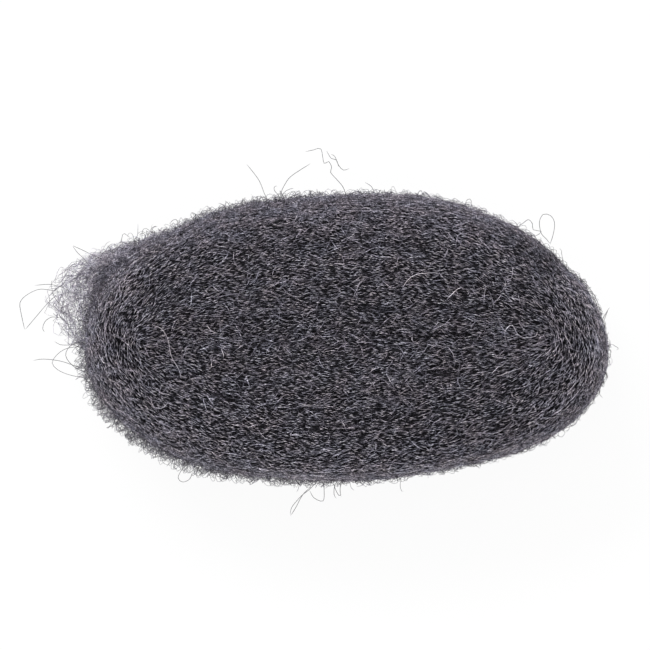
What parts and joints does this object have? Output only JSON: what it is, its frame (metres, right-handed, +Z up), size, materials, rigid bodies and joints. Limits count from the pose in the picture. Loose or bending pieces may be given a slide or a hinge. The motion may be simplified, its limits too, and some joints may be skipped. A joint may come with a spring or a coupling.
{
  "type": "steel wool pad",
  "caption": "Steel wool pad: a ribbon of fine steel fibres wound into a flat oval roll that lies on its wound end, for scouring, cleaning and polishing.",
  "frame": {"origin": "centre of the roll's underside, on the surface that it lies on", "axes": "+Z up out of the upper wound end; +X along the flat fold that the winding starts from, the roll's longest extent; +Y across the fold, the outer end of the ribbon being at +X +Y"},
  "size_m": [0.1046, 0.0574, 0.0405],
  "materials": {
    "steel_wool": "dull dark grey, a tangle of fine steel fibres with small bright glints"
  },
  "bodies": {
    "root": {"wool_roll": "steel_wool"}
  },
  "joints": []
}
